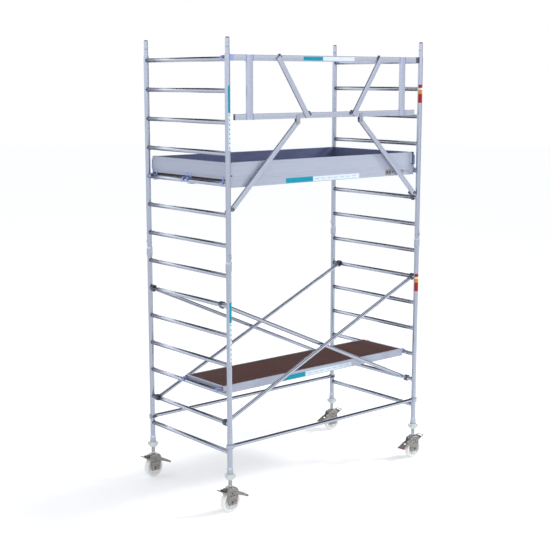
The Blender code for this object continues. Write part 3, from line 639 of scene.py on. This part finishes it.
# ---- decks ----
def deck_rails(node, yc, top, ribs):
    """Two side channels with a groove outside and a lip for the board, end and cross members, and hooks."""
    rails, hooks, rivets = Shape(), Shape(), Shape()
    rail = [
        (0.2994, 0), (DECK_HALF, -0.0008), (DECK_HALF, -0.0180), (0.2990, -0.0190), (0.2990, -0.0530),
        (DECK_HALF, -0.0540), (DECK_HALF, -0.0742), (0.2992, -0.0750), (0.2650, -0.0750),
        (0.2650, -0.0720), (0.2965, -0.0720), (0.2965, -0.0165), (0.2500, -0.0165), (0.2500, -0.0128),
        (RIM, -0.0128), (RIM, -0.0006), (RIM + 0.0006, 0),
    ]
    for s in (-1, 1):
        rails.prism(rail, place((0, yc, top), (0, s, 0), UP), -DECK_END, DECK_END)
        for i in range(13):
            x = -1.14 + 0.19 * i
            rivets.rivet((x, yc + s * 0.2990, top - 0.0360), (0, s, 0), 0.0036)
    for s in (-1, 1):
        rails.box(*span(s, 1.1900, DECK_END), yc - 0.2960, yc + 0.2960, top - 0.060, top - 0.0004)
    for x in ribs:
        rails.box(x - 0.015, x + 0.015, yc - 0.2955, yc + 0.2955, top - 0.0600, top - 0.0132)
    claw_ring = part_ring(RUNG_R + 0.0012, RUNG_R + 0.0105, -20, 190)
    neck = [
        (0.0245, -0.0100), (0.0320, -0.0150), (0.0400, -0.0178), (0.0500, -0.0180), (0.0500, 0.0250),
        (0.0380, 0.0235), (0.0290, 0.0190), (0.0245, 0.0150),
    ]
    for s in (-1, 1):
        for y in (yc - 0.272, yc + 0.272):
            where = place((s * HALF_LENGTH, y, top - DECK_LIFT), (-s, 0, 0), UP)
            hooks.prism(claw_ring, where, -0.0178, 0.0178)
            hooks.prism(part_ring(RUNG_R + 0.0100, RUNG_R + 0.0125, 10, 165), where, -0.0035, 0.0035)
            hooks.prism(neck, where, -0.0168, 0.0168)
            for dy in (-0.010, 0.010):
                rivets.rivet((s * (DECK_END + 0.0002), y + dy, top - 0.0480), (s, 0, 0), 0.0034)
    piece(f"{node}_rails", rails, "tower", [SHEET], [node], bevel=0.0007)
    piece(f"{node}_hooks", hooks, "tower", [BLUE], bevel=0.0014)
    piece(f"{node}_rivets", rivets, "tower", [ZINC])


def walking_board(name, x0, x1, y0, y1, top, body, node, opening=None):
    """Film-faced plywood: the film above and below, plies at the edge, screws along the sides."""
    board, screws = Shape(), Shape()
    spans = [(x0, x1, y0, y1)]
    if opening:
        hx0, hx1, hy0, hy1 = opening
        spans = [(x0, hx0, y0, y1), (hx1, x1, y0, y1), (hx0, hx1, y0, hy0), (hx0, hx1, hy1, y1)]
    for a0, a1, b0, b1 in spans:
        board.paint = 1
        board.box(a0, a1, b0, b1, top - BOARD_THICK, top - 0.0006)
        board.paint = 0
        board.box(a0, a1, b0, b1, top - 0.0006, top)
    count = max(2, round((x1 - x0) / 0.2))
    for i in range(count + 1):
        x = x0 + 0.03 + (x1 - x0 - 0.06) * i / count
        for y in (y0 + 0.012, y1 - 0.012):
            screws.rivet((x, y, top - 0.0002), UP, 0.0040)
    piece(name, board, body, [BOARD, EDGE], [node])
    piece(f"{name}_screws", screws, body, [ZINC])


def deck_ends(top):
    """The ends of the upper boards, brown above a dark joint, which show below the end toe boards."""
    ends = Shape()
    for s in (-1, 1):
        for y0, y1 in ((-0.585, -0.040), (0.040, 0.585)):
            ends.paint = 0
            ends.box(*span(s, 1.2148, 1.2168), y0, y1, top - 0.0118, top - 0.0020)
            ends.paint = 1
            ends.box(*span(s, 1.2148, 1.2162), y0, y1, top - 0.0240, top - 0.0118)
    piece("upper_deck_end_strips", ends, "tower", [BOARD, BLACK], bevel=0.0004)


def deck_latches(top):
    """A spring latch near the front beam's right end, and the two pale loops of its wire."""
    face, plate_x, z = -BEAM_FACE, 0.845, top - 0.036
    plate, holes, loops = Shape(), Shape(), Shape()
    flat = place((plate_x, face, z), (1, 0, 0), UP)
    plate.prism(rounded(0.040, 0.026, 0.006), flat, -0.0005, 0.0022)
    # the two black ovals stand for holes in the plate: their dark is painted shade, and the plate is not cut
    for dx in (-0.018, 0.016):
        spot = place((plate_x + dx, face - 0.0021, z), (1, 0, 0), UP)
        holes.prism(rounded(0.0095, 0.0125, 0.0092, 6), spot, -0.0003, 0.0008)
    holes.rod((0.902, face + 0.001, z), (0.902, face - 0.0035, z), 0.0065)
    for x in (0.985, 1.045):
        ring = [Vector((x + a, face - 0.0024, z + 0.002 + b)) for a, b in rounded(0.020, 0.013, 0.012)]
        loops.wire(ring, 0.0024, 8, loop=True)
    loops.rod((0.905, face - 0.0022, z), (1.150, face - 0.0022, z), 0.0020, 10)
    piece("deck_latch_plate", plate, "tower", [GALV], bevel=0.0005)
    piece("deck_latch_holes", holes, "tower", [BLACK], bevel=0.0002)
    piece("deck_latch_wire", loops, "tower", [ZINC], sharp=50)


def hatch(top):
    """The lifting panel with its edge trim, two battens below, three hinges and a sunk grip."""
    low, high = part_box("hatch")
    panel = (low.x + 0.006, high.x - 0.006, low.y + 0.006, high.y - 0.006)
    walking_board("hatch_panel", *panel, top, "hatch", "hatch")
    trim, hinge = Shape(), Shape()
    for x0, x1, y0, y1 in (
        (low.x, high.x, low.y, low.y + 0.0065), (low.x, high.x, high.y - 0.0065, high.y),
        (low.x, low.x + 0.0065, low.y, high.y), (high.x - 0.0065, high.x, low.y, high.y),
    ):
        trim.box(x0, x1, y0, y1, top - 0.0170, top + 0.0004)
    for y in (low.y + 0.045, high.y - 0.053):
        trim.box(low.x + 0.02, high.x - 0.02, y - 0.0125, y + 0.0125, top - 0.035, top - BOARD_THICK)
    piece("hatch_trim", trim, "hatch", [ALLOY_X], bevel=0.0006)
    middle = (low.x + high.x) / 2
    for x in (low.x + 0.10, middle, high.x - 0.10):
        axle = Vector((x, high.y + 0.0010, top + 0.0020))
        hinge.rod(axle - Vector((0.030, 0, 0)), axle + Vector((0.030, 0, 0)), 0.0040)
        hinge.box(x - 0.026, x + 0.026, high.y - 0.030, high.y, top, top + 0.0018)
        for dx in (-0.016, 0.016):
            hinge.rivet((x + dx, high.y - 0.018, top + 0.0018), UP, 0.0034)
    piece("hatch_hinges", hinge, "hatch", [ZINC], bevel=0.0004)
    grip = Shape()
    centre = Vector((middle, low.y + 0.060, top))
    levels = ((0.060, 0.020, 0.0002), (0.059, 0.019, 0.0018), (0.048, 0.013, 0.0016), (0.046, 0.012, -0.010))
    grip.skin([[centre + Vector((a, b, h)) for a, b in rounded(*half, 0.012)] for *half, h in levels])
    piece("hatch_grip", grip, "hatch", [BLACK], bevel=0.0005)


def toe_board(node, low, high, lengthwise, inward):
    """A board on edge: outside pale with a groove at top and foot, its inside face dark slate, which is
    painted shade.
    """
    board = Shape()
    h = high.z - low.z
    t = (high.y - low.y) if lengthwise else (high.x - low.x)
    outline = [
        (0, 0), (t - 0.002, 0), (t, 0.002), (t, h - 0.002), (t - 0.002, h), (0.0030, h), (0, h - 0.0030),
        (0, h - 0.020), (0.0012, h - 0.0215), (0.0012, h - 0.0240), (0, h - 0.0255),
        (0, 0.0255), (0.0012, 0.0240), (0.0012, 0.0215), (0, 0.020),
    ]
    outside = low if inward > 0 else high
    if lengthwise:
        origin, inside = (0, outside.y, low.z), Vector((0, inward, 0))
        a, b = (low.x, high.x) if inward > 0 else (-high.x, -low.x)
    else:
        origin, inside = (outside.x, 0, low.z), Vector((inward, 0, 0))
        a, b = low.y, high.y
    board.prism(outline, place(origin, inside, UP), a, b)
    bmesh.ops.recalc_face_normals(board.bm, faces=board.bm.faces)
    board.bm.normal_update()
    # the large inside face takes the dark slate: painted shade on the board's inner side
    for face in board.bm.faces:
        if face.normal.dot(inside) > 0.9 and face.calc_area() > 0.05:
            face.material_index = 1
    piece(f"{node}_fine", board, "tower", [SHEET, INSIDE_SHADE], [node], sharp=20)


def toe_board_fittings(top):
    """Clips at the corners of the ring, and the hooks that hold the end boards over the deck ends."""
    clips, hooks = Shape(), Shape()
    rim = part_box("toe_board_front")[1].z
    for s in (-1, 1):
        for t in (-1, 1):
            y = t * BEAM_FACE
            clips.box(*span(s, 1.186, 1.2040), *span(t, BEAM_FACE - 0.0190, BEAM_FACE + 0.0016),
                      rim - 0.012, rim + 0.0030)
            y0, y1 = span(t, BEAM_FACE, BEAM_FACE + 0.0022)
            clips.box(*span(s, 1.1930, 1.2040), y0, y1, rim - 0.112, rim)
            curl = place((s * 1.1870, y0, rim - 0.112), (s, 0, 0), (0, 0, -s))
            clips.prism(part_ring(0.0060, 0.0165, 0, 150 * s), curl, 0, y1 - y0)
            hooks.box(*span(s, 1.2052, 1.2190), y - 0.0160, y + 0.0160, rim - 0.125, rim - 0.030)
        for y in (-0.565, 0.0, 0.565):
            for dy in (-0.030, 0.030):
                strap = (y + dy - 0.011, y + dy + 0.011)
                hooks.box(*span(s, 1.2220, 1.2250), *strap, top - 0.026, top + 0.030)
            hooks.box(*span(s, 1.2150, 1.2245), y - 0.042, y + 0.042, top - 0.030, top - 0.012)
    piece("toe_board_clips", clips, "tower", [BLACK], bevel=0.0008)
    piece("toe_board_hooks", hooks, "tower", [BLUE], bevel=0.0010)


# ---- guardrail ----
def bar(shape, start, end, width, y0, y1, radius=0.004):
    """A flat bar between two (x, z) points, with round long edges."""
    a, b = Vector((start[0], (y0 + y1) / 2, start[1])), Vector((end[0], (y0 + y1) / 2, end[1]))
    along = (b - a).normalized()
    where = place(a, Vector((0, 1, 0)), along.cross(Vector((0, 1, 0))))
    shape.prism(rounded((y1 - y0) / 2, width / 2, radius), where, 0, (b - a).length)


def guardrail():
    y0, y1 = RAIL_Y - RAIL_T / 2, RAIL_Y + RAIL_T / 2
    rails, posts = Shape(), Shape()
    for end, z in ((TOP_RAIL_END, TOP_RAIL_Z), (LOW_RAIL_END, LOW_RAIL_Z)):
        bar(rails, (-end, z), (end, z), RAIL_H, y0, y1)
    for s in (-1, 1):
        post = ((s * POST_X, LOW_RAIL_Z - 0.026), (s * POST_X, TOP_RAIL_Z + 0.026))
        bar(posts, *post, POST_WIDTH, y0 - 0.0012, y1 - 0.0012)
        strut = ((s * STRUT_TOP_X, TOP_RAIL_Z + 0.010), (s * STRUT_FOOT_X, LOW_RAIL_Z - 0.010))
        bar(posts, *strut, STRUT_WIDTH, y0 - 0.0165, y0 + 0.004)
    piece("guardrail_rails", rails, "tower", [BAR], ["guardrail_frame"], sharp=28)
    piece("guardrail_posts", posts, "tower", [BAR], sharp=28)

    fittings, ends, bolts = Shape(), Shape(), Shape()
    for s, name in ((-1, "left"), (1, "right")):
        # oval covers beside the struts' ends, and sleeve edges beside the posts
        slope = Vector((s * 0.367, 0, 0.526)).normalized()
        normal = Vector((slope.z, 0, -slope.x))
        for x, z in ((STRUT_TOP_X, TOP_RAIL_Z), (STRUT_FOOT_X, LOW_RAIL_Z)):
            where = place(Vector((s * x, y0, z)) - normal * s * 0.0330, slope, -normal)
            fittings.prism(rounded(0.024, 0.010, 0.0095, 8), where, -0.0095, 0.0095)
        for z in (TOP_RAIL_Z, LOW_RAIL_Z):
            ends.paint = 1
            for x in (s * POST_X - POST_WIDTH / 2 - 0.0050, s * POST_X + POST_WIDTH / 2 + 0.0050):
                ends.box(x - 0.0050, x + 0.0050, y0 - 0.0030, y1 + 0.0020, z - 0.0285, z + 0.0285)
            ends.paint = 0
            for dz in (-0.014, 0.014):
                bolts.rivet((s * POST_X, y0 - 0.0012, z + dz), (0, -1, 0), 0.0048)
        cap_x = span(s, LOW_RAIL_END, LOW_RAIL_END + 0.0030)
        ends.box(*cap_x, y0 - 0.0004, y1 + 0.0004, LOW_RAIL_Z - 0.0274, LOW_RAIL_Z + 0.0274)
        # the left claw and its block are blue, the right ones dark
        ends.paint = fittings.paint = 1 if s < 0 else 0
        block_x = span(s, 1.1800, 1.2215)
        ends.box(*block_x, y0 - 0.0006, -0.5700, TOP_RAIL_Z - 0.0280, TOP_RAIL_Z + 0.0280)
        ends.paint = 0
        ring = place((s * HALF_LENGTH, RAIL_CLAW_Y, rung_z(RAIL_CLAW_RUNG)), (-s, 0, 0), UP)
        fittings.prism(part_ring(RUNG_R + 0.0012, RUNG_R + 0.0112, -25, 190), ring, -0.0193, 0.0193)
        fittings.paint = 0
        px, pz = pivot(f"stay_fold_{name}").xz
        saddle = Shape()
        cheek = [
            (-0.022, 0.070), (-0.022, -0.010), (-0.014, -0.0215), (0.014, -0.0215), (0.022, -0.010),
            (0.022, 0.070),
        ]
        for ya, yb in ((y0 - 0.0050, y0 - 0.0006), (y1 + 0.0006, y1 + 0.0050)):
            saddle.prism(cheek, place((px, 0, pz), (1, 0, 0), UP), -yb, -ya)
        under = LOW_RAIL_Z - RAIL_H / 2
        saddle.box(px - 0.0215, px + 0.0215, y0 - 0.0045, y1 + 0.0045, under - 0.0035, under)
        piece(f"stay_saddle_{name}", saddle, "tower", [ALLOY_Z], bevel=0.0008)
        bolts.rod((px, y0 - 0.0080, pz), (px, y1 + 0.0080, pz), 0.0053)
        for axis in (-1, 1):
            bolts.bolt((px, RAIL_Y + axis * (RAIL_T / 2 + 0.0050), pz), (0, axis, 0), 0.0085, 0.0060)
    piece("guardrail_claws", fittings, "tower", [DARK, BLUE], bevel=0.0010)
    piece("guardrail_end_caps", ends, "tower", [DARK, BLUE], bevel=0.0008)
    piece("guardrail_bolts", bolts, "tower", [ZINC], bevel=0.0004)


def guardrail_stay(name, s):
    """A flat bar from its bolt to a hook on a rung. foot, top and along are (x, z)."""
    y0, y1 = RAIL_Y - RAIL_T / 2 + 0.0008, RAIL_Y + RAIL_T / 2 - 0.0008
    foot = Vector((s * HALF_LENGTH, rung_z(STAY_RUNG)))
    top = Vector(pivot(f"stay_fold_{name}").xz)
    along = (foot - top).normalized()
    tube, hook = Shape(), Shape()
    start, end = top - along * 0.012, foot - along * 0.070
    bar(tube, start, end, STAY_WIDTH, y0, y1, 0.005)
    node, body = f"guardrail_stay_{name}", f"stay_{name}"
    piece(f"{node}_tube", tube, body, [BAR], [node], sharp=28)
    u, v = Vector((-along.x, 0, -along.y)), Vector((s * -along.y, 0, s * along.x))
    ring = place((foot.x, RAIL_CLAW_Y, foot.y), u, v)
    hook.prism(part_ring(RUNG_R + 0.0012, RUNG_R + 0.0113, -105, 15), ring, -0.0193, 0.0193)
    for near, far, width, outside, inside in (
        (0.092, 0.060, 0.034, y0 - 0.0010, -0.5730), (0.072, 0.030, 0.031, -0.6105, -0.5745),
    ):
        bar(hook, foot - along * near, foot - along * far, width, outside, inside, 0.003)
    piece(f"{node}_hook", hook, body, [DARK], bevel=0.0012)
    trim = Shape()
    for distance in (0.065, 0.090):
        spot = foot - along * distance
        trim.rivet((spot.x, y0 - 0.0012, spot.y), (0, -1, 0), 0.0046)
    lever = [
        Vector((foot.x, -0.6125, foot.y)) + u * a + v * b
        for a, b in ((0.060, 0.010), (0.066, 0.024), (0.060, 0.036), (0.046, 0.040), (0.036, 0.034))
    ]
    trim.wire(lever, 0.0022, 10)
    piece(f"{node}_trim", trim, body, [ZINC], sharp=50)


# ---- printed bands, plain blocks of colour ----
def flat_label(name, spans, z0, z1, y):
    """Blocks along X on a face that looks to -Y: each span is (start, end, paint)."""
    label = Shape()
    for x0, x1, paint in spans:
        label.paint = paint
        label.box(x0, x1, y - 0.0003, y + 0.0002, z0, z1)
    piece(name, label, "tower", [TEAL_PRINT, WHITE_PRINT])


def leg_label(name, s, spans, mats, start, end, radius=LEG_R):
    """Blocks up a front leg, wrapped over part of its round: each span is (low, high, paint)."""
    label = Shape()
    outline = part_ring(radius - 0.0002, radius + 0.0003, start, end)
    for z0, z1, paint in spans:
        label.paint = paint
        label.prism(outline, Matrix.Translation((s * HALF_LENGTH, -HALF_WIDTH, 0)), z0, z1)
    piece(name, label, "tower", mats)


def labels(high_top, low_top):
    for name, y, top, start, middle, end in (
        ("front_deck_band", -BEAM_FACE, high_top, -0.530, -0.190, 0.430),
        ("lower_deck_band", LOWER_DECK_Y - DECK_HALF, low_top, -0.470, -0.180, 0.460),
    ):
        flat_label(name, [(start, middle, 0), (middle + 0.004, end, 1)], top - 0.0690, top - 0.0230, y)
        step = (end - middle - 0.04) / 7
        dashes = [(middle + 0.03 + step * i, middle + 0.03 + step * (i + 0.6), 0) for i in range(7)]
        flat_label(f"{name}_dashes", dashes, top - 0.0475, top - 0.0445, y - 0.0003)
    spans = [(-0.350, -0.105, 0), (-0.101, 0.310, 1)]
    flat_label("top_rail_band", spans, TOP_RAIL_Z - 0.018, TOP_RAIL_Z + 0.018, RAIL_Y - RAIL_T / 2)
    paints = [TEAL_PRINT, WHITE_PRINT]
    bands = (("upper_leg_band", 3.41, 3.744, 3.985), ("lower_leg_band", 1.46, 1.830, 2.020))
    for name, foot, middle, head in bands:
        leg_label(name, -1, [(foot, middle - 0.004, 1), (middle, head, 0)], paints, 242, 312)
        step = (middle - foot) / 8
        ticks = [(foot + step * (i + 0.35), foot + step * (i + 0.65), 0) for i in range(8)]
        leg_label(f"{name}_ticks", -1, ticks, paints, 262, 292, LEG_R + 0.0003)
    mark_spans = ((0, 0.092, 0), (0.092, 0.132, 2), (0.132, 0.152, 1), (0.152, 0.185, 0))
    for name, base in (("upper_leg_marks", 3.80), ("lower_leg_marks", 1.83)):
        marks = [(base + low, base + high, paint) for low, high, paint in mark_spans]
        leg_label(name, 1, marks, [RED_PRINT, WHITE_PRINT, AMBER_PRINT], 180, 330)


# ---- assembly ----
for side, s in (("left", -1), ("right", 1)):
    for storey, level in enumerate(("lower", "upper")):
        frame_legs(level, side, s * HALF_LENGTH, storey)
        frame_rungs(level, side, s * HALF_LENGTH, storey)
for corner, (sx, sy) in CORNERS.items():
    x, y = sx * HALF_LENGTH, sy * HALF_WIDTH
    lock_pin(corner)
    spindle(corner, x, y)
    adjusting_nut(corner, x, y)
    castor_fork(corner, x, y, -sx)
    castor_wheel(corner, x, y)
    brake_rocker(corner, x, y, -sx)
high_z, low_z = rung_z(UPPER_BRACE_RUNG), rung_z(LOWER_BRACE_RUNG)
for node, y, down in (
    ("brace_front_inner", -INNER_PLANE, 1), ("brace_front_outer", -OUTER_PLANE, -1),
    ("brace_rear_outer", OUTER_PLANE, 1), ("brace_rear_inner", INNER_PLANE, -1),
):
    ends = [(-down * HALF_LENGTH, y, high_z), (down * HALF_LENGTH, y, low_z)]
    brace(node, *ends, UP, RUNG_R + 0.0013, DARK)
# the level braces' claws look like pale alloy, though their slot is the dark casting
for node, s in (("brace_front_level", -1), ("brace_rear_level", 1)):
    ends = [(x, s * HALF_WIDTH, GIRT_HEIGHT) for x in (-HALF_LENGTH, HALF_LENGTH)]
    brace(node, *ends, (0, s, 0), LEG_R + 0.0013, ALLOY_Z)
high_top, low_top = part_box("hatch_deck_board")[1].z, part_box("lower_deck_board")[1].z
thirds = [i / 3 for i in range(-3, 4)]
deck_rails("lower_deck_frame", LOWER_DECK_Y, low_top, thirds)
deck_rails("front_deck_frame", -UPPER_DECK_Y, high_top, thirds)
deck_rails("hatch_deck_frame", UPPER_DECK_Y, high_top, [-1, -2 / 3, -1 / 3, 0, 0.328, 1.002])
for node in ("lower_deck_board", "front_deck_board", "hatch_deck_board"):
    low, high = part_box(node)
    gap = None
    if node == "hatch_deck_board":
        a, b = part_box("hatch")
        gap = (a.x - 0.003, b.x + 0.003, a.y - 0.003, b.y + 0.003)
    walking_board(f"{node}_fine", low.x, high.x, low.y, high.y, high.z, "tower", node, gap)
hatch(high_top)
for name, lengthwise, inward in (
    ("front", True, 1), ("rear", True, -1), ("left", False, 1), ("right", False, -1),
):
    toe_board(f"toe_board_{name}", *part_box(f"toe_board_{name}"), lengthwise, inward)
toe_board_fittings(high_top)
deck_ends(high_top)
deck_latches(high_top)
guardrail()
guardrail_stay("left", -1)
guardrail_stay("right", 1)
labels(high_top, low_top)


# ---- floor, light and camera ----
def stage():
    floor = Shape()
    floor.turned([(60, -0.02), (60, 0)], Matrix.Identity(4), 96)
    mesh = bpy.data.meshes.new("floor")
    bmesh.ops.recalc_face_normals(floor.bm, faces=floor.bm.faces)
    floor.bm.to_mesh(mesh)
    floor.bm.free()
    paper = surface("studio_floor", (0.90, 0.90, 0.90), 0.0, 1.0, scale=0.4, tone=0.004, grain=0.0)
    shader = paper.node_tree.nodes["Principled BSDF"]
    tune(shader, Specular_IOR_Level=0.0, Emission_Color=(1, 1, 1, 1), Emission_Strength=0.19)
    mesh.materials.append(paper)
    obj = bpy.data.objects.new("floor", mesh)
    bpy.context.scene.collection.objects.link(obj)


def room(nodes, links, stops, shaded):
    """A Background for reflections: its colour follows height, and it is dimmer towards +X."""
    where = nodes.new("ShaderNodeTexCoord")
    split = nodes.new("ShaderNodeSeparateXYZ")
    links.new(where.outputs["Generated"], split.inputs["Vector"])
    ramp = nodes.new("ShaderNodeValToRGB")
    first, last = ramp.color_ramp.elements
    first.position, first.color = stops[0][0], (*stops[0][1], 1)
    last.position, last.color = stops[-1][0], (*stops[-1][1], 1)
    for position, colour in stops[1:-1]:
        ramp.color_ramp.elements.new(position).color = (*colour, 1)
    links.new(split.outputs["Z"], ramp.inputs["Fac"])
    lit, dim = shaded
    side = tune(nodes.new("ShaderNodeMapRange"), From_Min=0.45, From_Max=0.80, To_Min=lit, To_Max=dim)
    links.new(split.outputs["X"], side.inputs["Value"])
    background = nodes.new("ShaderNodeBackground")
    links.new(ramp.outputs["Color"], background.inputs["Color"])
    links.new(side.outputs["Result"], background.inputs["Strength"])
    return background


def studio_light():
    """White for the eye, soft light all round, a room with a dark band in reflections, and two area lamps."""
    world = bpy.data.worlds.new("studio")
    bpy.context.scene.world = world
    world.use_nodes = True
    nodes, links = world.node_tree.nodes, world.node_tree.links
    white = tune(nodes["Background"], Color=(1, 1, 1, 1), Strength=1.0)
    soft = tune(nodes.new("ShaderNodeBackground"), Color=(0.95, 0.97, 1.0, 1), Strength=0.92)
    mirrored = room(nodes, links, (
        (0.00, (0.50, 0.52, 0.60)), (0.08, (1.00, 1.00, 1.00)), (0.30, (1.00, 1.00, 1.00)),
        (0.40, (0.006, 0.007, 0.012)), (0.86, (0.006, 0.007, 0.012)), (0.94, (1.00, 1.00, 1.00)),
    ), (2.10, 0.90))
    path = nodes.new("ShaderNodeLightPath")
    glossy = nodes.new("ShaderNodeMixShader")
    links.new(path.outputs["Is Glossy Ray"], glossy.inputs[0])
    links.new(soft.outputs[0], glossy.inputs[1])
    links.new(mirrored.outputs[0], glossy.inputs[2])
    seen = nodes.new("ShaderNodeMixShader")
    links.new(path.outputs["Is Camera Ray"], seen.inputs[0])
    links.new(glossy.outputs[0], seen.inputs[1])
    links.new(white.outputs[0], seen.inputs[2])
    links.new(seen.outputs[0], nodes["World Output"].inputs["Surface"])
    middle = Vector((0, 0, 2.0))
    for name, spot, size, power in (
        ("key", (7.8, -4.0, 7.4), 1.6, 620),
        ("fill", (-6.5, -6.5, 4.5), 4.0, 60),
    ):
        light = bpy.data.lights.new(name, "AREA")
        light.size, light.energy = size, power
        obj = bpy.data.objects.new(name, light)
        bpy.context.scene.collection.objects.link(obj)
        obj.location = spot
        obj.visible_glossy = False
        obj.rotation_euler = (middle - Vector(spot)).to_track_quat("-Z", "Y").to_euler()


def camera():
    data = bpy.data.cameras.new("camera")
    data.sensor_width, data.lens = 36.0, 75.1
    data.clip_end = 200
    obj = bpy.data.objects.new("camera", data)
    obj.location = (-7.5815, -8.8464, 4.0435)
    obj.rotation_euler = (math.radians(90 - 9.70), 0, math.radians(-40.01))
    bpy.context.scene.collection.objects.link(obj)
    bpy.context.scene.camera = obj
    bpy.context.scene.view_settings.view_transform = "Standard"


stage()
studio_light()
camera()
